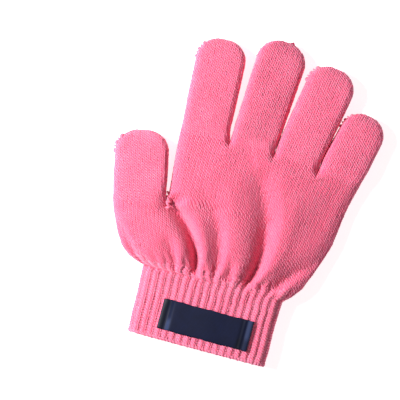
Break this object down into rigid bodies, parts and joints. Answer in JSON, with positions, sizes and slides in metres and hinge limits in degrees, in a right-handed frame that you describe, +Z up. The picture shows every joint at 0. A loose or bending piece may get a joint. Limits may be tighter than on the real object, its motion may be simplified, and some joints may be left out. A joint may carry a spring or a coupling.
{
  "type": "knitted riding glove",
  "caption": "Right-hand stretch knitted riding glove lying palm down, hollow, with thumb and four fingers, gathered into a ribbed cuff with a blank woven label.",
  "frame": {"origin": "under the middle of the glove's bounding box, on the surface it lies on", "axes": "+Y from the cuff to the fingertips, +X from the thumb to the little finger, +Z up out of the back of the hand"},
  "size_m": [0.1444, 0.1796, 0.0174],
  "materials": {
    "pink_knit": "matte jersey knit",
    "pink_rib": "matte rib knit",
    "navy_tape": "satin woven tape",
    "black_grip": "glossy raised dots"
  },
  "bodies": {
    "root": {"knit_hand": "pink_knit", "rib_cuff": "pink_rib", "woven_label": "navy_tape"}
  },
  "joints": []
}
